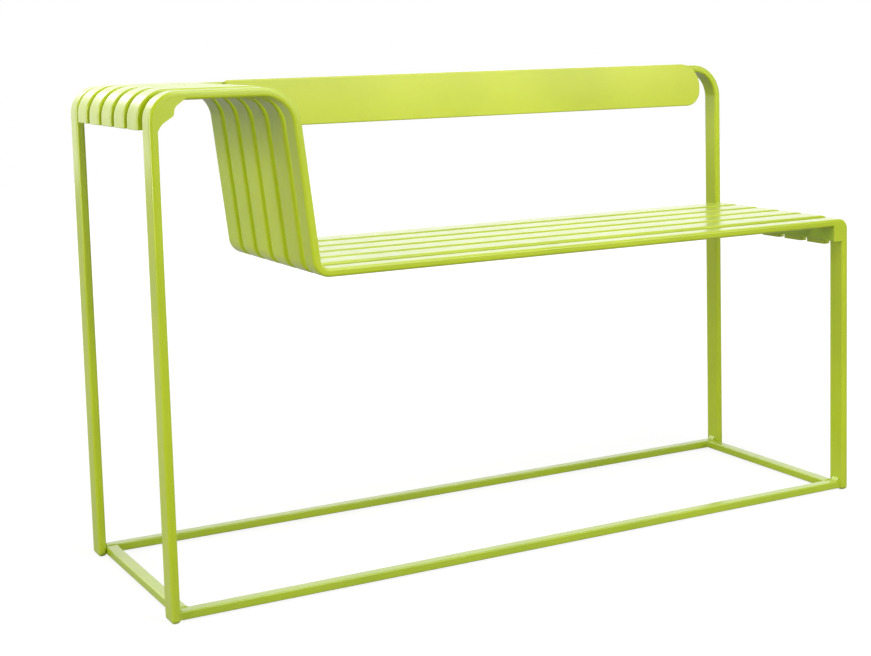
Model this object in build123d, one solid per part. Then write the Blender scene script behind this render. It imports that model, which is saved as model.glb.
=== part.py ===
from build123d import *
import math
import os

# Metal bench with a stepped run of slats: a high side table, a leaning drop and a
# lower seat, carried by two bent tube frames on a floor rectangle.
# Millimetres. X runs along the bench from the table to the seat, Y from front to
# back, Z up. The origin is the middle of the footprint, on the floor.

# Overall sizes of the two frames
frame_length = 1200.0
frame_depth = 388.0
table_height = 727.5
seat_height = 470.5

# Bent frame tubes, wide side across the bench
bar_width = 33.0
bar_thickness = 12.5
bar_edge_bevel = 1.6
bar_wall = 2.0

# Slats between the two frames
slat_count = 5
slat_width = 47.0
slat_proud = 2.0
slat_edge_bevel = 1.6
slat_wall = 2.0
slat_cap_thickness = 2.0
table_lip_length = 40.0
seat_lip_length = 35.0

# The stepped run, seen from the front
table_run = 199.5
drop_lean = 6.2
table_end_bend_inner_radius = 28.0
drop_top_bend_inner_radius = 44.0
drop_foot_bend_inner_radius = 14.0
seat_end_bend_inner_radius = 4.5

# Bend of the rear frame over the seat end
back_bend_inner_radius = 47.0

# Play between a bend and what is nested in it, as a difference of radii
nest_clearance = 0.6

# Rail nested in the inside corner of the table end bends
table_rail_toe = 6.0
table_rail_heel = 5.0
table_rail_neck_reach = 23.5
table_rail_neck_drop = 9.0
table_rail_nose_reach = 21.5
table_rail_nose_drop = 20.5
table_rail_neck_radius = 10.0
table_rail_nose_radius = 3.0
table_rail_wall = 2.5

# Rail nested in the inside corner of the seat end bends
seat_rail_width = 17.5
seat_rail_height = 25.0
seat_rail_edge_radius = 1.5
seat_rail_wall = 2.0

# Plates that close the ends of both nested rails
rail_plate_thickness = 2.0

# Floor rectangle
base_rail_width = 18.0
base_rail_height = 12.5
base_rail_edge_radius = 2.0
base_rail_wall = 2.0
base_rail_floor_gap = 2.5

# Caps in the open feet of the posts
foot_cap_height = 6.0
foot_cap_edge_radius = 4.5
foot_spigot_length = 12.0
foot_spigot_clearance = 0.3

# Back plate on the front face of the rear top rail
back_plate_thickness = 12.0
back_plate_height = 76.0
back_plate_rise = 3.0
back_plate_drop_gap = 21.0
back_plate_post_gap = 43.0
back_plate_edge_radius = 2.0
back_plate_left_corner_radius = 3.0
back_plate_lower_corner_radius = 27.0
back_plate_upper_corner_radius = 42.0

# Places that follow from the sizes above
bar_half = bar_thickness / 2
post_x = frame_length / 2 - bar_half
post_inner_x = post_x - bar_half
rear_y = (frame_depth - bar_width) / 2
front_y = -rear_y
rear_inner_y = rear_y - bar_width / 2
table_underside_z = table_height - bar_thickness
seat_underside_z = seat_height - bar_thickness
table_axis_z = table_height - bar_half
seat_axis_z = seat_height - bar_half
slat_thickness = bar_thickness + slat_proud
slat_offset = slat_proud / 2
slat_gap = (2 * rear_inner_y - slat_count * slat_width) / (slat_count + 1)
lean = math.radians(drop_lean)
drop_top_x = table_run - post_x
drop_foot_x = drop_top_x + (table_axis_z - seat_axis_z) * math.tan(lean)
drop_face_x = drop_top_x + bar_half / math.cos(lean)


def step_corners(offset):
    """Corners of the stepped run, its centre line standing off the frame's by offset."""
    shift = offset / math.cos(lean) - offset * math.tan(lean)
    return [
        (-post_x - offset, table_axis_z + offset),
        (drop_top_x + shift, table_axis_z + offset),
        (drop_foot_x + shift, seat_axis_z + offset),
        (post_x + offset, seat_axis_z + offset),
    ]


def step_radii(offset):
    """Centre line radii at those corners; the foot of the drop bends the other way."""
    return [
        table_end_bend_inner_radius + bar_half + offset,
        drop_top_bend_inner_radius + bar_half + offset,
        drop_foot_bend_inner_radius + bar_half - offset,
        seat_end_bend_inner_radius + bar_half + offset,
    ]


def flat_section(width, thickness, bevel):
    """Outline of a flat tube whose long edges are eased."""
    outline = Rectangle(width, thickness)
    return chamfer(outline.vertices(), bevel)


def bent_tube(points, radii, y, width, thickness, bevel, wall):
    """Flat tube swept along straight runs and bends in the plane Y = y."""
    path = FilletPolyline(*[(x, y, z) for x, z in points], radius=radii)
    start = Plane(origin=path @ 0, x_dir=(0, 1, 0), z_dir=path % 0)
    outside = start * flat_section(width, thickness, bevel)
    bore = start * Rectangle(width - 2 * wall, thickness - 2 * wall)
    return sweep(outside, path=path) - sweep(bore, path=path)


def frame_tube(corners, radii, y):
    """Frame tube whose two posts stand on the foot caps."""
    left_foot = (corners[0][0], foot_cap_height)
    right_foot = (corners[-1][0], foot_cap_height)
    points = [left_foot] + corners + [right_foot]
    return bent_tube(points, radii, y, bar_width, bar_thickness, bar_edge_bevel, bar_wall)


def front_frame():
    return frame_tube(step_corners(0), step_radii(0), front_y)


def rear_frame():
    corners = [(-post_x, table_axis_z), (post_x, table_axis_z)]
    radii = [table_end_bend_inner_radius + bar_half, back_bend_inner_radius + bar_half]
    return frame_tube(corners, radii, rear_y)


def slat_y(index):
    """Middle of a slat, counted from the back of the bench."""
    return rear_inner_y - slat_gap - slat_width / 2 - index * (slat_width + slat_gap)


def slat_ends():
    """Undersides of the table lip and of the seat lip, as (x, z)."""
    return [
        (-post_x - slat_offset, table_underside_z - table_lip_length),
        (post_x + slat_offset, seat_underside_z - seat_lip_length),
    ]


def slat(index):
    table_end, seat_end = slat_ends()
    first = (table_end[0], table_end[1] + slat_cap_thickness)
    last = (seat_end[0], seat_end[1] + slat_cap_thickness)
    points = [first] + step_corners(slat_offset) + [last]
    radii = step_radii(slat_offset)
    y = slat_y(index)
    return bent_tube(points, radii, y, slat_width, slat_thickness, slat_edge_bevel, slat_wall)


def slat_end_caps():
    """Plates that close both ends of every slat."""
    outline = flat_section(slat_thickness, slat_width, slat_edge_bevel)
    cap = extrude(outline, amount=slat_cap_thickness)
    caps = [Pos(x, slat_y(index), z) * cap for index in range(slat_count) for x, z in slat_ends()]
    return Compound(children=caps)


def across_bench(x, y, z):
    """Section plane of a rail across the bench: x to the right, y up, extruded to the front."""
    return Plane(origin=(x, y, z), x_dir=(1, 0, 0), z_dir=(0, -1, 0))


def table_rail_section():
    """Section with its back corner, rounded to lie in the bend, at the origin."""
    neck = (table_rail_neck_reach, -table_rail_neck_drop)
    nose = (table_rail_nose_reach, -table_rail_nose_drop)
    toe = (table_end_bend_inner_radius + table_rail_toe, 0)
    heel = (0, -table_end_bend_inner_radius - table_rail_heel)
    section = make_face(Polyline((0, 0), toe, neck, nose, heel, close=True))
    rounds = [
        ((0, 0), table_end_bend_inner_radius + nest_clearance),
        (neck, table_rail_neck_radius),
        (nose, table_rail_nose_radius),
    ]
    for corner, radius in rounds:
        section = fillet(section.vertices().sort_by_distance(corner)[0], radius)
    return section


def seat_rail_section():
    """Section with its back corner, rounded to lie in the bend, at the origin."""
    corner_radius = seat_end_bend_inner_radius + nest_clearance
    section = Rectangle(seat_rail_width, seat_rail_height, align=Align.MAX)
    free_corners = section.vertices().sort_by_distance((0, 0))[1:]
    section = fillet(free_corners, seat_rail_edge_radius)
    return fillet(section.vertices().sort_by_distance((0, 0))[0], corner_radius)


def nested_rail(section, wall, x, z):
    """Tube across the bench, short of both frame faces by its end plates."""
    half_length = frame_depth / 2 - rail_plate_thickness
    bore = offset(section, amount=-wall)
    tube = section - bore
    return extrude(across_bench(x, 0, z) * tube, amount=half_length, both=True)


def rail_end_plates(section, x, z):
    front = frame_depth / 2 - rail_plate_thickness
    plate = extrude(across_bench(x, -front, z) * section, amount=rail_plate_thickness)
    return Compound(children=[plate, mirror(plate, about=Plane.XZ)])


def base_rail(length, direction, across):
    """Floor rail centred on its length."""
    middle_z = base_rail_floor_gap + base_rail_height / 2
    plane = Plane(origin=(0, 0, middle_z), x_dir=across, z_dir=direction)
    bore_width = base_rail_width - 2 * base_rail_wall
    bore_height = base_rail_height - 2 * base_rail_wall
    section = RectangleRounded(base_rail_width, base_rail_height, base_rail_edge_radius)
    section = section - Rectangle(bore_width, bore_height)
    return extrude(plane * section, amount=length / 2, both=True)


def long_base_rail():
    """Rail between the inner faces of two posts."""
    return base_rail(2 * post_inner_x, (1, 0, 0), (0, 1, 0))


def end_base_rail():
    """Rail between the inner faces of the two long rails."""
    return base_rail(rear_y - front_y - base_rail_width, (0, 1, 0), (1, 0, 0))


def foot_cap():
    """Cap under a post, its spigot fitting the bore of the tube."""
    block = extrude(Rectangle(bar_thickness, bar_width), amount=foot_cap_height)
    block = fillet(block.faces().sort_by(Axis.Z)[0].edges(), foot_cap_edge_radius)
    eased = extrude(flat_section(bar_thickness, bar_width, bar_edge_bevel), amount=foot_cap_height)
    cap = block & eased
    inset = bar_wall + foot_spigot_clearance
    spigot = Rectangle(bar_thickness - 2 * inset, bar_width - 2 * inset)
    return cap + extrude(Pos(0, 0, foot_cap_height) * spigot, amount=foot_spigot_length)


def foot_caps():
    cap = foot_cap()
    caps = [Pos(x, y, 0) * cap for x in (-post_x, post_x) for y in (front_y, rear_y)]
    return Compound(children=caps)


def back_plate():
    """Plate with a square end by the drop and a generously rounded end by the post."""
    left_x = drop_face_x + back_plate_drop_gap
    right_x = post_inner_x - back_plate_post_gap
    top_z = table_height + back_plate_rise
    bottom_z = top_z - back_plate_height
    rounds = [
        ((left_x, bottom_z), back_plate_left_corner_radius),
        ((right_x, bottom_z), back_plate_lower_corner_radius),
        ((right_x, top_z), back_plate_upper_corner_radius),
        ((left_x, top_z), back_plate_left_corner_radius),
    ]
    outline = make_face(Polyline(*[corner for corner, radius in rounds], close=True))
    for corner, radius in rounds:
        outline = fillet(outline.vertices().sort_by_distance(corner)[0], radius)
    plate = extrude(across_bench(0, rear_inner_y, 0) * outline, amount=back_plate_thickness)
    rims = plate.faces().filter_by(Axis.Y).edges()
    return fillet(rims, back_plate_edge_radius)


def bench():
    parts = {"front_frame": front_frame(), "rear_frame": rear_frame()}
    for index in range(slat_count):
        parts["slat_%d" % (index + 1)] = slat(index)
    parts["slat_end_caps"] = slat_end_caps()
    parts["foot_caps"] = foot_caps()
    parts["back_plate"] = back_plate()

    table_place = (-post_inner_x, table_underside_z)
    parts["table_cross_rail"] = nested_rail(table_rail_section(), table_rail_wall, *table_place)
    parts["table_rail_end_plates"] = rail_end_plates(table_rail_section(), *table_place)
    seat_place = (post_inner_x, seat_underside_z)
    parts["seat_cross_rail"] = nested_rail(seat_rail_section(), seat_rail_wall, *seat_place)
    parts["seat_rail_end_plates"] = rail_end_plates(seat_rail_section(), *seat_place)

    end_rail_x = post_inner_x - base_rail_width / 2
    parts["base_rail_front"] = Pos(0, front_y, 0) * long_base_rail()
    parts["base_rail_rear"] = Pos(0, rear_y, 0) * long_base_rail()
    parts["base_rail_left"] = Pos(-end_rail_x, 0, 0) * end_base_rail()
    parts["base_rail_right"] = Pos(end_rail_x, 0, 0) * end_base_rail()
    return parts


os.makedirs("parts", exist_ok=True)
for node, shape in bench().items():
    export_step(shape, "parts/" + node + ".step")
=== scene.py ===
import math

import bpy
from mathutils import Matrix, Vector


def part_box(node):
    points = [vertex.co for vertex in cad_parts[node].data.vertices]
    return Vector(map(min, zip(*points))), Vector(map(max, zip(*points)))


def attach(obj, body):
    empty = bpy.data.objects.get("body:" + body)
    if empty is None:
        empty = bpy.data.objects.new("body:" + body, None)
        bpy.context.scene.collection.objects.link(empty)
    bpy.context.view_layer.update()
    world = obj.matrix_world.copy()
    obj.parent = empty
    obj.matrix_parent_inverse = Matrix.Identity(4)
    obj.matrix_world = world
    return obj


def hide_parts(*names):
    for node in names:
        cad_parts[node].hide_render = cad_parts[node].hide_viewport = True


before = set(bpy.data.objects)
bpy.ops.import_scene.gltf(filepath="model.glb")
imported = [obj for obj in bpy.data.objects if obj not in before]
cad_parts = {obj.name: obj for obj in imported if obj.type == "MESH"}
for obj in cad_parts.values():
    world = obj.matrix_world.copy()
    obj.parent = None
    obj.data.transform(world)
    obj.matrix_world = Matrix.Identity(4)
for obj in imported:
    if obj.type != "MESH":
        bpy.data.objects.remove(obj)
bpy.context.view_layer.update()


# Front frame. One length of flat steel tube with eased edges, drawn round four
# bends: up from the front left foot, over the side table, down the leaning drop,
# along the seat and down to the front right foot. Powder coated with the rest.
def lime_paint(name, painted_shade=0.0, dust=0.0, rub=0.0, painted_light=0.0):
    """Glossy powder coat with orange peel: the shade setting gives a darker, greener copy of the
    paint as painted shade, the light setting a lighter, yellower copy as painted light, dust lies
    low down on it, and rub dulls it."""

    # Painted light lifts red most, green half as much and blue a little; painted shade takes red
    # off and half as much green.
    def toned(red, green, blue):
        return (red + painted_light - painted_shade, green + painted_light / 2 - painted_shade / 2, blue + painted_light / 6, 1)

    paint = bpy.data.materials.new(name)
    paint.use_nodes = True
    nodes, links = paint.node_tree.nodes, paint.node_tree.links
    shader = nodes["Principled BSDF"]
    shader.inputs["IOR"].default_value = 1.5
    shader.inputs["Specular IOR Level"].default_value = 0.25
    shader.inputs["Coat Weight"].default_value = 0.75
    shader.inputs["Coat Roughness"].default_value = 0.16
    place = nodes.new("ShaderNodeTexCoord")

    cloud = nodes.new("ShaderNodeTexNoise")
    cloud.inputs["Scale"].default_value = 5.0
    cloud.inputs["Detail"].default_value = 3.0
    links.new(place.outputs["Object"], cloud.inputs["Vector"])
    tone = nodes.new("ShaderNodeValToRGB")
    tone.color_ramp.elements[0].position = 0.3
    tone.color_ramp.elements[0].color = toned(0.405, 0.515, 0.006)
    tone.color_ramp.elements[1].position = 0.7
    tone.color_ramp.elements[1].color = toned(0.495, 0.605, 0.011)
    links.new(cloud.outputs["Fac"], tone.inputs["Fac"])

    grain = nodes.new("ShaderNodeTexNoise")
    grain.inputs["Scale"].default_value = 900.0
    grain.inputs["Detail"].default_value = 2.0
    links.new(place.outputs["Object"], grain.inputs["Vector"])
    fleck = nodes.new("ShaderNodeMix")
    fleck.data_type = "RGBA"
    fleck.blend_type = "SOFT_LIGHT"
    fleck.inputs["Factor"].default_value = 0.18
    links.new(tone.outputs["Color"], fleck.inputs["A"])
    links.new(grain.outputs["Fac"], fleck.inputs["B"])
    finish = fleck.outputs["Result"]

    gloss = nodes.new("ShaderNodeTexNoise")
    gloss.inputs["Scale"].default_value = 38.0
    gloss.inputs["Detail"].default_value = 5.0
    links.new(place.outputs["Object"], gloss.inputs["Vector"])
    rough = nodes.new("ShaderNodeMapRange")
    rough.inputs["From Min"].default_value = 0.3
    rough.inputs["From Max"].default_value = 0.7
    rough.inputs["To Min"].default_value = 0.3
    rough.inputs["To Max"].default_value = 0.42 + rub
    links.new(gloss.outputs["Fac"], rough.inputs["Value"])
    links.new(rough.outputs["Result"], shader.inputs["Roughness"])

    if dust:
        height = nodes.new("ShaderNodeSeparateXYZ")
        links.new(place.outputs["Object"], height.inputs["Vector"])
        low = nodes.new("ShaderNodeMapRange")
        low.inputs["From Min"].default_value = 0.0
        low.inputs["From Max"].default_value = 0.09
        low.inputs["To Min"].default_value = dust
        low.inputs["To Max"].default_value = 0.0
        links.new(height.outputs["Z"], low.inputs["Value"])
        patch = nodes.new("ShaderNodeMath")
        patch.operation = "MULTIPLY"
        links.new(low.outputs["Result"], patch.inputs[0])
        links.new(gloss.outputs["Fac"], patch.inputs[1])
        settled = nodes.new("ShaderNodeMix")
        settled.data_type = "RGBA"
        settled.inputs["B"].default_value = (0.40, 0.42, 0.17, 1)
        links.new(patch.outputs["Value"], settled.inputs["Factor"])
        links.new(finish, settled.inputs["A"])
        finish = settled.outputs["Result"]
    links.new(finish, shader.inputs["Base Color"])

    peel = nodes.new("ShaderNodeTexNoise")
    peel.inputs["Scale"].default_value = 420.0
    peel.inputs["Detail"].default_value = 1.5
    links.new(place.outputs["Object"], peel.inputs["Vector"])
    bump = nodes.new("ShaderNodeBump")
    bump.inputs["Strength"].default_value = 0.12
    bump.inputs["Distance"].default_value = 0.0004
    links.new(peel.outputs["Fac"], bump.inputs["Height"])
    links.new(bump.outputs["Normal"], shader.inputs["Normal"])
    return paint


def close_up(piece, paint, smooth=35):
    """Welds the points of a finished shape, turns its faces out, shades and paints it."""
    bpy.ops.object.mode_set(mode="EDIT")
    bpy.ops.mesh.select_all(action="SELECT")
    bpy.ops.mesh.remove_doubles(threshold=0.000005)
    bpy.ops.mesh.normals_make_consistent(inside=False)
    bpy.ops.object.mode_set(mode="OBJECT")
    bpy.ops.object.transform_apply(location=True, rotation=True, scale=True)
    bpy.ops.object.shade_smooth_by_angle(angle=math.radians(smooth))
    bpy.ops.object.modifier_add(type="WEIGHTED_NORMAL")
    piece.modifiers[-1].keep_sharp = True
    bpy.ops.object.modifier_apply(modifier=piece.modifiers[-1].name)
    piece.data.materials.clear()
    piece.data.materials.append(paint)
    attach(piece, "root")


def outline_on_plane(name, centre, size, turn=(0, 0, 0)):
    """A flat rectangle at its place, left in edit mode with everything selected."""
    bpy.ops.object.select_all(action="DESELECT")
    bpy.ops.mesh.primitive_plane_add(size=1, location=centre, rotation=turn)
    piece = bpy.context.object
    piece.name = name
    piece.scale = (size[0], size[1], 1)
    bpy.ops.object.transform_apply(location=True, rotation=True, scale=True)
    bpy.ops.object.mode_set(mode="EDIT")
    bpy.ops.mesh.select_all(action="SELECT")
    return piece


def draw_tube(name, corners, radii, y, width, thickness, edge):
    """Flat tube drawn from the first corner (x, z) to the last, bent to each centre radius."""
    start = Vector((corners[0][0], y, corners[0][1]))
    tube = outline_on_plane(name, start, (thickness, width))
    bpy.ops.mesh.bevel(offset=edge, segments=6, affect="VERTICES")
    bpy.ops.mesh.select_all(action="SELECT")
    points = [Vector((x, y, z)) for x, z in corners]
    here = points[0]
    fewest_facets, facet_degrees = 8, 5
    for corner, after, radius in zip(points[1:], points[2:], radii):
        heading = (corner - here).normalized()
        leaving = (after - corner).normalized()
        turn = heading.angle(leaving)
        reach = radius * math.tan(turn / 2)
        run_end = corner - heading * reach
        bpy.ops.mesh.extrude_region_move(TRANSFORM_OT_translate={"value": run_end - here})
        side = heading.cross(leaving).y
        middle = run_end + (leaving - heading * heading.dot(leaving)).normalized() * radius
        bpy.ops.mesh.spin(
            steps=max(fewest_facets, round(math.degrees(turn) / facet_degrees)),
            angle=-turn if side > 0 else turn,
            center=middle,
            axis=(0, 1, 0),
            dupli=False,
        )
        here = corner + leaving * reach
    bpy.ops.mesh.extrude_region_move(TRANSFORM_OT_translate={"value": points[-1] - here})
    return tube


bar_width = 0.033
bar_thick = 0.0125
edge_round = 0.0038
front_low, front_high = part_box("front_frame")
rear_low, rear_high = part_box("rear_frame")
left_x = front_low.x + bar_thick / 2
right_x = front_high.x - bar_thick / 2
table_z = front_high.z - bar_thick / 2
seat_low, seat_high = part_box("seat_cross_rail")
seat_z = seat_high.z + bar_thick / 2
front_y = (front_low.y + front_high.y) / 2
rear_y = (rear_low.y + rear_high.y) / 2

lean = math.radians(6.2)
table_run = 0.1995
drop_x = left_x + table_run
table_end_bend = 0.028
drop_top_bend = 0.044
drop_foot_bend = 0.014
seat_end_bend = 0.0045


def step_run(out):
    """Corners of the stepped run, standing off the frame's own centre line by out."""
    shift = out / math.cos(lean) - out * math.tan(lean)
    foot_x = drop_x + (table_z - seat_z) * math.tan(lean)
    return [
        (left_x - out, table_z + out),
        (drop_x + shift, table_z + out),
        (foot_x + shift, seat_z + out),
        (right_x + out, seat_z + out),
    ]


def step_bends(out):
    """Centre radii of the run's four bends, of which the third turns the other way."""
    half = bar_thick / 2
    return [
        table_end_bend + half + out,
        drop_top_bend + half + out,
        drop_foot_bend + half - out,
        seat_end_bend + half + out,
    ]


run = [(left_x, front_low.z)] + step_run(0) + [(right_x, front_low.z)]
front = draw_tube("front_frame_tube", run, step_bends(0), front_y, bar_width, bar_thick, edge_round)
frame_paint = lime_paint("frame_powder_coat", dust=0.2)
close_up(front, frame_paint)
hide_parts("front_frame")


# Rear frame. The same flat steel tube, up from the rear left foot, straight along at
# the height of the table and down to the rear right foot in one wide bend.
rear_seat_bend = 0.047
rear_bends = [table_end_bend + bar_thick / 2, rear_seat_bend + bar_thick / 2]
run = [(left_x, rear_low.z), (left_x, table_z), (right_x, table_z), (right_x, rear_low.z)]
rear = draw_tube("rear_frame_tube", run, rear_bends, rear_y, bar_width, bar_thick, edge_round)
close_up(rear, frame_paint)
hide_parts("rear_frame")


# Slats. Five wider flat steel tubes bent along the front frame's run with a lip at
# each end, two millimetres proud of it outside and level with it underneath. They are
# welded to the rails under the two corners.
slat_paint = lime_paint("slat_powder_coat", rub=0.05)
slat_round = 0.0036
slat_proud = 0.002
slat_thick = bar_thick + slat_proud
cap_thick = 0.002
table_lip = 0.04
table_lip_z = front_high.z - bar_thick - table_lip
seat_lip_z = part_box("slat_end_caps")[0].z
corners = step_run(slat_proud / 2)
run = [(corners[0][0], table_lip_z + cap_thick)] + corners
run = run + [(corners[-1][0], seat_lip_z + cap_thick)]
bends = step_bends(slat_proud / 2)
for number in range(1, 6):
    low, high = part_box("slat_%d" % number)
    middle_y, width = (low.y + high.y) / 2, high.y - low.y
    name = "slat_tube_%d" % number
    tube = draw_tube(name, run, bends, middle_y, width, slat_thick, slat_round)
    close_up(tube, slat_paint)
    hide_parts("slat_%d" % number)


# Lip end caps. Small steel plates with eased corners that close the ten open ends
# of the slats, welded on and ground level with the tube.
def ease_rim(piece, axis, level, radius):
    """Rounds the edges in the plane at this level of X, Y or Z (axis 0, 1 or 2)."""
    bpy.ops.mesh.select_mode(type="EDGE")
    bpy.ops.mesh.select_all(action="DESELECT")
    bpy.ops.object.mode_set(mode="OBJECT")
    points, near = piece.data.vertices, 0.00002
    for edge in piece.data.edges:
        edge.select = all(abs(points[v].co[axis] - level) < near for v in edge.vertices)
    bpy.ops.object.mode_set(mode="EDIT")
    bpy.ops.mesh.bevel(offset=radius, segments=3, affect="EDGES")
    bpy.ops.mesh.select_mode(type="VERT")


def join_up(name, pieces):
    """Makes one piece of several."""
    bpy.ops.object.select_all(action="DESELECT")
    for piece in pieces:
        piece.select_set(True)
    bpy.context.view_layer.objects.active = pieces[0]
    bpy.ops.object.join()
    pieces[0].name = name
    return pieces[0]


cap_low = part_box("slat_end_caps")[0]
cap_rim = 0.0007
caps = []
for number in range(1, 6):
    low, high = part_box("slat_%d" % number)
    for end_x, lip_z in ((low.x, table_lip_z), (high.x - slat_thick, cap_low.z)):
        middle = (end_x + slat_thick / 2, (low.y + high.y) / 2, lip_z)
        plate = outline_on_plane("lip_cap", middle, (slat_thick, high.y - low.y))
        bpy.ops.mesh.bevel(offset=slat_round, segments=6, affect="VERTICES")
        bpy.ops.mesh.select_all(action="SELECT")
        bpy.ops.mesh.extrude_region_move(TRANSFORM_OT_translate={"value": (0, 0, cap_thick)})
        ease_rim(plate, 2, lip_z, cap_rim)
        bpy.ops.object.mode_set(mode="OBJECT")
        caps.append(plate)
lip_caps = join_up("lip_end_caps", caps)
close_up(lip_caps, slat_paint)
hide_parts("slat_end_caps")


# Rail under the table corner. A formed steel tube that lies in the inside of the
# table end bends, right across the bench, and carries the ends of the slats. Its paint is darker
# and greener as painted shade.
def shaped_outline(name, spots, y):
    """Flat outline in the upright plane at y, its corners at the given (x, z)."""
    bpy.ops.object.select_all(action="DESELECT")
    bpy.ops.mesh.primitive_circle_add(vertices=len(spots), radius=0.02, fill_type="NGON")
    piece = bpy.context.object
    piece.name = name
    for point, (x, z) in zip(piece.data.vertices, spots):
        point.co = (x, y, z)
    bpy.ops.object.mode_set(mode="EDIT")
    bpy.ops.mesh.select_mode(type="VERT")
    return piece


def round_corner(piece, spot, radius, steps):
    """Rounds the outline's corner at (x, z)."""
    bpy.ops.mesh.select_all(action="DESELECT")
    bpy.ops.object.mode_set(mode="OBJECT")
    near = 0.00002
    for point in piece.data.vertices:
        away = math.hypot(point.co.x - spot[0], point.co.z - spot[1])
        point.select = away < near
    bpy.ops.object.mode_set(mode="EDIT")
    bpy.ops.mesh.bevel(offset=radius, segments=steps, affect="VERTICES")


inner_x = left_x + bar_thick / 2
under_z = front_high.z - bar_thick
neck_out, neck_down = 0.0235, 0.009
nose_out, nose_down = 0.0215, 0.0205
neck = (inner_x + neck_out, under_z - neck_down)
nose = (inner_x + nose_out, under_z - nose_down)
nest_round, rail_neck_round, rail_nose_round = 0.0286, 0.004, 0.0013
rail_low, rail_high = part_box("table_cross_rail")
nest = (inner_x, under_z)
spots = [nest, (rail_high.x, under_z), neck, nose, (inner_x, rail_low.z)]
table_rail = shaped_outline("table_corner_rail", spots, rail_low.y)
for spot, radius, steps in (
    (nest, nest_round, 14),
    (neck, rail_neck_round, 6),
    (nose, rail_nose_round, 5),
):
    round_corner(table_rail, spot, radius, steps)
bpy.ops.mesh.select_all(action="SELECT")
through = {"value": (0, rail_high.y - rail_low.y, 0)}
bpy.ops.mesh.extrude_region_move(TRANSFORM_OT_translate=through)
# Painted shade: the corner rails sit in shade under the table and seat, so their paint is a darker,
# greener copy of the frame's.
rail_paint = lime_paint("rail_powder_coat", painted_shade=0.08)
close_up(table_rail, rail_paint)
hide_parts("table_cross_rail")


# Corner plates of the table rail. Cut steel plates that close its two ends, reach a
# little over the frame's eased edge and are welded and ground smooth with it.
plate_low, plate_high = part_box("table_rail_end_plates")
plate_thick = 0.002
lap = edge_round - 0.0002
toe_out, heel_down = 0.041, 0.05
outer = (inner_x - lap, under_z + lap)
toe, heel = (inner_x + toe_out, under_z + lap), (inner_x - lap, under_z - heel_down)
throat_out, throat_down = 0.001, 0.0006
throat = (inner_x + throat_out, rail_low.z - throat_down)
plate_neck_round, plate_nose_round, throat_round = 0.0045, 0.0015, 0.009
corner_plates = []
for face_y, inward in ((plate_low.y, 1), (plate_high.y, -1)):
    plate = shaped_outline("corner_plate", [outer, toe, neck, nose, throat, heel], face_y)
    for spot, radius, steps in (
        (outer, nest_round + lap, 14),
        (neck, plate_neck_round, 8),
        (nose, plate_nose_round, 6),
        (throat, throat_round, 6),
    ):
        round_corner(plate, spot, radius, steps)
    bpy.ops.mesh.select_all(action="SELECT")
    through = {"value": (0, plate_thick * inward, 0)}
    bpy.ops.mesh.extrude_region_move(TRANSFORM_OT_translate=through)
    bpy.ops.object.mode_set(mode="OBJECT")
    corner_plates.append(plate)
table_plates = join_up("table_corner_plates", corner_plates)
close_up(table_plates, frame_paint)
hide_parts("table_rail_end_plates")


# Rail under the seat corner. A small rectangular steel tube across the bench, inside
# the lips, with its upper outer corner rounded to lie in the tight seat bend. Its paint is darker
# and greener as painted shade.
seat_nest_round, seat_rail_round = 0.0051, 0.0015
seat_nest = (seat_high.x, seat_high.z)
seat_heel = (seat_high.x, seat_low.z)
seat_toe = (seat_low.x, seat_high.z)
seat_free = (seat_low.x, seat_low.z)
spots = [seat_free, seat_heel, seat_nest, seat_toe]
seat_rail = shaped_outline("seat_corner_rail", spots, seat_low.y)
round_corner(seat_rail, seat_nest, seat_nest_round, 5)
for spot in (seat_free, seat_heel, seat_toe):
    round_corner(seat_rail, spot, seat_rail_round, 4)
bpy.ops.mesh.select_all(action="SELECT")
through = {"value": (0, seat_high.y - seat_low.y, 0)}
bpy.ops.mesh.extrude_region_move(TRANSFORM_OT_translate=through)
# The seat rail takes the corner rails' darker, greener paint: painted shade.
close_up(seat_rail, rail_paint)
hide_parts("seat_cross_rail")


# End plates of the seat rail. Small steel plates, welded and ground level with the
# front frame's face and with the back of the rear right post.
plate_low, plate_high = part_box("seat_rail_end_plates")
free_round = 0.0012
end_plates = []
for face_y, inward, over in ((plate_low.y, 1, lap), (plate_high.y, -1, 0.0)):
    reach_x, reach_z = seat_high.x + lap, seat_high.z + over
    nested = (reach_x, reach_z)
    spots = [seat_free, (reach_x, seat_low.z), nested, (seat_low.x, reach_z)]
    plate = shaped_outline("end_plate", spots, face_y)
    round_corner(plate, nested, seat_end_bend + lap, 6)
    round_corner(plate, seat_free, free_round, 4)
    bpy.ops.mesh.select_all(action="SELECT")
    through = {"value": (0, plate_thick * inward, 0)}
    bpy.ops.mesh.extrude_region_move(TRANSFORM_OT_translate=through)
    bpy.ops.object.mode_set(mode="OBJECT")
    end_plates.append(plate)
seat_plates = join_up("seat_rail_plates", end_plates)
close_up(seat_plates, frame_paint)
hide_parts("seat_rail_end_plates")


# Back plate. Thick flat steel, square beside the drop and generously rounded at the
# other end, welded against the front of the rear frame's top run. Its paint is a lighter, yellower
# copy of the frame's as painted light.
low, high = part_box("back_plate")
square_end, lower_round, upper_round, plate_rim = 0.003, 0.027, 0.042, 0.002
spots = [(low.x, low.z), (high.x, low.z), (high.x, high.z), (low.x, high.z)]
rounds = [(square_end, 4), (lower_round, 16), (upper_round, 20), (square_end, 4)]
back = shaped_outline("back_plate_panel", spots, high.y)
for spot, (radius, steps) in zip(spots, rounds):
    round_corner(back, spot, radius, steps)
bpy.ops.mesh.select_all(action="SELECT")
bpy.ops.mesh.extrude_region_move(TRANSFORM_OT_translate={"value": (0, low.y - high.y, 0)})
for face_y in (low.y, high.y):
    ease_rim(back, 1, face_y, plate_rim)
# Painted light: the plate's paint is a lighter, yellower copy of the frame's.
plate_paint = lime_paint("plate_powder_coat", painted_light=0.07)
close_up(back, plate_paint)
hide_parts("back_plate")
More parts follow.
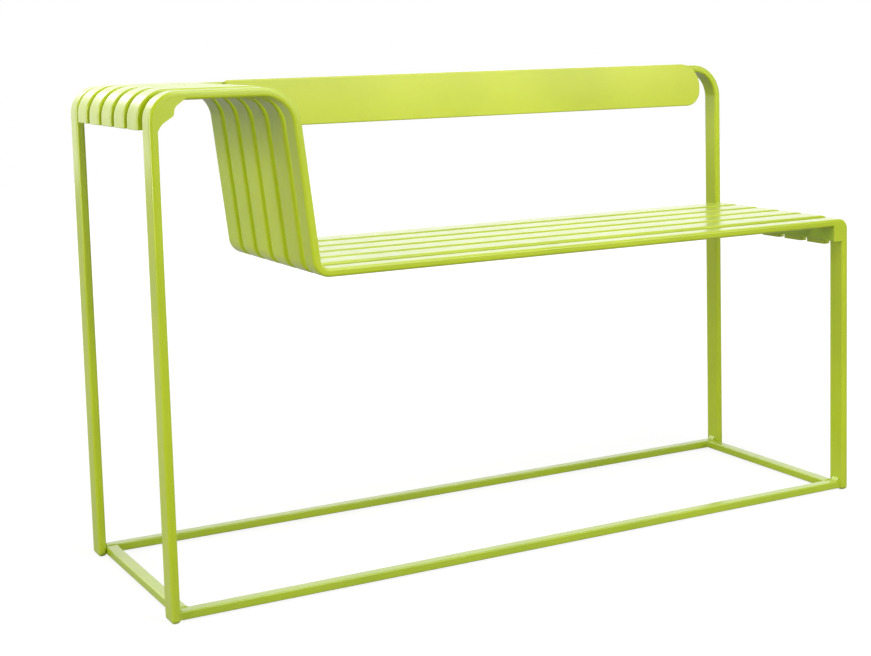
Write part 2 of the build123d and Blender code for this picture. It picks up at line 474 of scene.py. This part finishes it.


# Floor rails. Four lengths of small rectangular steel tube, welded between the posts
# just above the floor, with dust settled on them and their paint a little darker as painted shade.
rail_paint_low = lime_paint("floor_rail_powder_coat", painted_shade=0.04, dust=0.2)
rail_edge = 0.002
for name, along in (("front", 0), ("rear", 0), ("left", 1), ("right", 1)):
    low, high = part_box("base_rail_" + name)
    middle, size = (low + high) / 2, high - low
    if along == 0:
        end, turn, flat = (low.x, middle.y, middle.z), (0, math.pi / 2, 0), (size.z, size.y)
    else:
        end, turn, flat = (middle.x, low.y, middle.z), (math.pi / 2, 0, 0), (size.x, size.z)
    rail = outline_on_plane("floor_rail_" + name, end, flat, turn)
    bpy.ops.mesh.bevel(offset=rail_edge, segments=4, affect="VERTICES")
    bpy.ops.mesh.select_all(action="SELECT")
    through = Vector((0, 0, 0))
    through[along] = size[along]
    bpy.ops.mesh.extrude_region_move(TRANSFORM_OT_translate={"value": through})
    close_up(rail, rail_paint_low)
    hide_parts("base_rail_" + name)


# Feet. A steel cap closes each post at the floor, welded on, its lower edge rounded
# over, the paint a little scuffed and, as painted shade, a little darker.
foot_paint = lime_paint("foot_powder_coat", painted_shade=0.03, dust=0.3, rub=0.12)
foot_round = 0.0058
foot_sweep = 0.009
foot_steps = 6
feet = []
for x in (left_x, right_x):
    for y in (front_y, rear_y):
        foot = outline_on_plane("foot", (x, y, front_low.z), (bar_thick, bar_width))
        bpy.ops.mesh.bevel(offset=edge_round, segments=6, affect="VERTICES")
        bpy.ops.mesh.select_all(action="SELECT")
        through = {"value": (0, 0, foot_round - front_low.z)}
        bpy.ops.mesh.extrude_region_move(TRANSFORM_OT_translate=through)
        across, deep, height = bar_thick, bar_width, foot_round
        for step in range(1, foot_steps + 1):
            angle = math.pi / 2 * step / foot_steps
            pull = foot_round * (1 - math.cos(angle))
            sweep = foot_sweep * (1 - math.cos(angle))
            drop = foot_round * (1 - math.sin(angle)) - height
            bpy.ops.mesh.extrude_region_move(TRANSFORM_OT_translate={"value": (0, 0, drop)})
            height += drop
            shrink = ((bar_thick - 2 * pull) / across, (bar_width - 2 * sweep) / deep, 1)
            bpy.ops.transform.resize(value=shrink, center_override=(x, y, height))
            across, deep = bar_thick - 2 * pull, bar_width - 2 * sweep
        bpy.ops.object.mode_set(mode="OBJECT")
        feet.append(foot)
foot_pieces = join_up("foot_caps_rounded", feet)
close_up(foot_pieces, foot_paint)
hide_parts("foot_caps")


# Welds. Weld metal under the paint: fillets ground hollow and a bead at each corner
# of the floor rails, and rippled beads along the corner rails and behind the plate.
def weld_bead(name, length, radius):
    """Rippled bead of weld metal along X, starting at the origin."""
    bpy.ops.object.select_all(action="DESELECT")
    bpy.ops.mesh.primitive_circle_add(
        vertices=12, radius=radius, fill_type="NGON", rotation=(0, math.pi / 2, 0)
    )
    bead = bpy.context.object
    bead.name = name
    bpy.ops.object.transform_apply(location=True, rotation=True, scale=True)
    bpy.ops.object.mode_set(mode="EDIT")
    bpy.ops.mesh.select_all(action="SELECT")
    pitch, crest, trough, end_size = 0.0017, 1.0, 0.84, 0.45
    bpy.ops.transform.resize(value=(1, end_size, end_size), center_override=(0, 0, 0))
    ripples = round(length / pitch)
    half_pitch = length / ripples / 2
    size, reach = end_size, 0.0
    for ring in range(1, 2 * ripples + 1):
        next_size = crest if ring % 2 else trough
        if ring == 2 * ripples:
            next_size = end_size
        bpy.ops.mesh.extrude_region_move(TRANSFORM_OT_translate={"value": (half_pitch, 0, 0)})
        reach += half_pitch
        grow = next_size / size
        bpy.ops.transform.resize(value=(1, grow, grow), center_override=(reach, 0, 0))
        size = next_size
    bpy.ops.object.mode_set(mode="OBJECT")
    return bead


def lay_bead(master, start, axis):
    """A copy of the bead from this start along X or Y."""
    bead = master.copy()
    bead.data = master.data.copy()
    bpy.context.collection.objects.link(bead)
    bpy.ops.object.select_all(action="DESELECT")
    bead.select_set(True)
    bpy.context.view_layer.objects.active = bead
    bead.location = start
    bead.rotation_euler = {"x": (0, 0, 0), "y": (0, 0, math.pi / 2)}[axis]
    bpy.ops.object.transform_apply(location=True, rotation=True, scale=True)
    return bead


def hollow_fillet(root, first, second, through):
    """Weld ground hollow in the corner at root, between two legs, drawn out along it."""
    bpy.ops.object.select_all(action="DESELECT")
    bpy.ops.mesh.primitive_circle_add(vertices=4, radius=0.01, fill_type="NGON")
    fillet = bpy.context.object
    fillet.name = "fillet"
    sink, hollow_share = 0.0008, 0.85
    sunk_first, sunk_second = first.normalized() * sink, second.normalized() * sink
    spots = [
        root - sunk_first - sunk_second,
        root + first - sunk_second,
        root + sunk_first + sunk_second,
        root + second - sunk_first,
    ]
    for point, spot in zip(fillet.data.vertices, spots):
        point.co = spot
    bpy.ops.object.mode_set(mode="EDIT")
    bpy.ops.mesh.select_mode(type="VERT")
    bpy.ops.mesh.select_all(action="DESELECT")
    bpy.ops.object.mode_set(mode="OBJECT")
    fillet.data.vertices[2].select = True
    bpy.ops.object.mode_set(mode="EDIT")
    hollow = hollow_share * (min(first.length, second.length) - sink)
    bpy.ops.mesh.bevel(offset=hollow, segments=7, affect="VERTICES")
    bpy.ops.mesh.select_all(action="SELECT")
    bpy.ops.mesh.extrude_region_move(TRANSFORM_OT_translate={"value": through})
    bpy.ops.object.mode_set(mode="OBJECT")
    return fillet


def finish_welds(name, beads, paint):
    """Makes one painted piece of the beads, shaded softly over their ripples."""
    welds = join_up(name, beads)
    close_up(welds, paint, smooth=70)


corner_bead = weld_bead("corner_bead", 0.0165, 0.003)
top_leg, inner_leg, side_leg, side_out = 0.009, 0.008, 0.006, 0.0036
top_along, top_start = 0.0156, 0.0078
upright, upright_z = 0.0105, 0.0035
bead_inset, bead_sink = 0.00075, 0.0014
long_low, long_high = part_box("base_rail_front")
end_low, end_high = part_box("base_rail_left")
rail_inner = end_high.x - end_low.x
bead_z = long_high.z - bead_sink
floor_beads = []
for side_x in (-1, 1):
    post_x = side_x * long_high.x
    inner = side_x * (long_high.x - rail_inner)
    for side_y in (-1, 1):
        mid_y = front_y * -side_y
        outer_y, inner_y = side_y * abs(long_low.y), side_y * abs(long_high.y)
        along, out, up = Vector((-side_x, 0, 0)), Vector((0, side_y, 0)), Vector((0, 0, 1))
        top_root = (post_x, mid_y - top_start, long_high.z)
        side_root = (post_x, outer_y, upright_z)
        inner_root = (inner, inner_y, upright_z)
        for root, first, second, through in (
            (top_root, along * top_leg, up * top_leg, (0, top_along, 0)),
            (side_root, along * side_leg, out * side_out, (0, 0, upright)),
            (inner_root, along * inner_leg, out * -inner_leg, (0, 0, upright)),
        ):
            floor_beads.append(hollow_fillet(Vector(root), first, second, through))
        across_x = min(post_x, inner) + bead_inset
        floor_beads.append(lay_bead(corner_bead, (across_x, inner_y, bead_z), "x"))
# The floor welds share the floor rails' paint, darkened a little as painted shade.
finish_welds("floor_rail_welds", floor_beads, rail_paint_low)

slat_bead_length = 0.042
slat_bead = weld_bead("slat_bead", slat_bead_length, 0.002)
rail_beads = []
table_toe = (rail_high.x, under_z)
table_heel = (inner_x, rail_low.z)
for number in range(1, 6):
    low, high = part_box("slat_%d" % number)
    start_y = (low.y + high.y) / 2 - slat_bead_length / 2
    for x, z in (table_toe, table_heel, seat_toe, seat_heel):
        rail_beads.append(lay_bead(slat_bead, (x, start_y, z), "y"))
# The corner rail beads share the corner rails' darker, greener paint: painted shade.
finish_welds("corner_rail_welds", rail_beads, rail_paint)

plate_low, plate_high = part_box("back_plate")
plate_beads = []
stitches, first_stitch, stitch_margins = 7, 0.03, 0.14
stitch_run = plate_high.x - plate_low.x - stitch_margins
for stitch in range(stitches):
    start_x = plate_low.x + first_stitch + stitch_run * stitch / (stitches - 1)
    for z in (rear_high.z, rear_high.z - bar_thick):
        plate_beads.append(lay_bead(slat_bead, (start_x, plate_high.y, z), "x"))
finish_welds("plate_welds", plate_beads, frame_paint)
for master in (corner_bead, slat_bead):
    bpy.data.objects.remove(master)


# Floor, light and camera. A pale studio floor that keeps the bench's soft shadow, soft
# lamps overhead, left, behind and in front, and a long lens just above the table top.
bpy.ops.object.select_all(action="DESELECT")
bpy.ops.mesh.primitive_plane_add(size=14, location=(0, 0, 0))
floor = bpy.context.object
floor.name = "studio_floor"
stone = bpy.data.materials.new("studio_white")
stone.use_nodes = True
nodes, links = stone.node_tree.nodes, stone.node_tree.links
nodes.remove(nodes["Principled BSDF"])
matt = nodes.new("ShaderNodeBsdfDiffuse")
matt.inputs["Color"].default_value = (0.34, 0.34, 0.33, 1)
bright = nodes.new("ShaderNodeEmission")
spread = nodes.new("ShaderNodeTexCoord")
reach = nodes.new("ShaderNodeVectorMath")
reach.operation = "LENGTH"
links.new(spread.outputs["Object"], reach.inputs[0])
fade = nodes.new("ShaderNodeMapRange")
fade.inputs["From Min"].default_value = 0.8
fade.inputs["From Max"].default_value = 2.6
fade.inputs["To Min"].default_value = 0.86
fade.inputs["To Max"].default_value = 1.0
links.new(reach.outputs["Value"], fade.inputs["Value"])
links.new(fade.outputs["Result"], bright.inputs["Strength"])
thin = nodes.new("ShaderNodeBsdfDiffuse")
thin.inputs["Color"].default_value = (0.19, 0.19, 0.19, 1)
both = nodes.new("ShaderNodeAddShader")
links.new(bright.outputs["Emission"], both.inputs[0])
links.new(thin.outputs["BSDF"], both.inputs[1])
ray = nodes.new("ShaderNodeLightPath")
seen = nodes.new("ShaderNodeMath")
seen.operation = "MULTIPLY_ADD"
seen.inputs[1].default_value = 0.15
links.new(ray.outputs["Is Glossy Ray"], seen.inputs[0])
links.new(ray.outputs["Is Camera Ray"], seen.inputs[2])
pick = nodes.new("ShaderNodeMixShader")
links.new(seen.outputs["Value"], pick.inputs["Fac"])
links.new(matt.outputs["BSDF"], pick.inputs[1])
links.new(both.outputs["Shader"], pick.inputs[2])
links.new(pick.outputs["Shader"], nodes["Material Output"].inputs["Surface"])
floor.data.materials.append(stone)

world = bpy.data.worlds.new("studio")
bpy.context.scene.world = world
world.use_nodes = True
nodes, links = world.node_tree.nodes, world.node_tree.links
air = nodes["Background"]
air.inputs["Color"].default_value = (1, 1, 1, 1)
ray = nodes.new("ShaderNodeLightPath")
around = nodes.new("ShaderNodeTexCoord")
axes = nodes.new("ShaderNodeSeparateXYZ")
links.new(around.outputs["Generated"], axes.inputs["Vector"])
wall = nodes.new("ShaderNodeMapRange")
wall.inputs["From Min"].default_value = -0.6
wall.inputs["From Max"].default_value = 0.6
wall.inputs["To Min"].default_value = 0.2
wall.inputs["To Max"].default_value = 1.3
links.new(axes.outputs["Y"], wall.inputs["Value"])
shine = nodes.new("ShaderNodeMix")
shine.inputs["A"].default_value = 0.42
links.new(ray.outputs["Is Glossy Ray"], shine.inputs["Factor"])
links.new(wall.outputs["Result"], shine.inputs["B"])
level = nodes.new("ShaderNodeMix")
level.inputs["B"].default_value = 1.0
links.new(ray.outputs["Is Camera Ray"], level.inputs["Factor"])
links.new(shine.outputs["Result"], level.inputs["A"])
links.new(level.outputs["Result"], air.inputs["Strength"])


def soft_lamp(name, place, aim, size, power):
    """Square lamp at its place, turned to its aim."""
    bpy.ops.object.select_all(action="DESELECT")
    bpy.ops.object.light_add(type="AREA", location=place)
    lamp = bpy.context.object
    lamp.name = name
    lamp.data.shape = "SQUARE"
    lamp.data.size = size
    lamp.data.energy = power
    lamp.rotation_euler = (Vector(aim) - Vector(place)).to_track_quat("-Z", "Y").to_euler()


soft_lamp("overhead", (0.1, -0.95, 2.15), (0.1, 0.1, 0.6), 1.2, 20)
soft_lamp("left_window", (-6.0, -0.8, 0.9), (0, 0, 0.4), 3.5, 262)
soft_lamp("back_fill", (-1.4, 3.6, 2.9), (0, 0, 0.4), 2.4, 46)
soft_lamp("front_fill", (2.6, -5.4, 2.25), (0, 0, 0.4), 3.6, 172)

bpy.ops.object.select_all(action="DESELECT")
bpy.ops.object.camera_add(location=(-1.2678, -2.3294, 0.796))
camera = bpy.context.object
camera.rotation_euler = (math.radians(83.39), math.radians(1.218), math.radians(-30.13))
camera.data.lens = 68.48
camera.data.sensor_width = 36
camera.data.shift_x = -0.10
camera.data.shift_y = -0.12
bpy.context.scene.camera = camera
bpy.context.scene.view_settings.view_transform = "Standard"
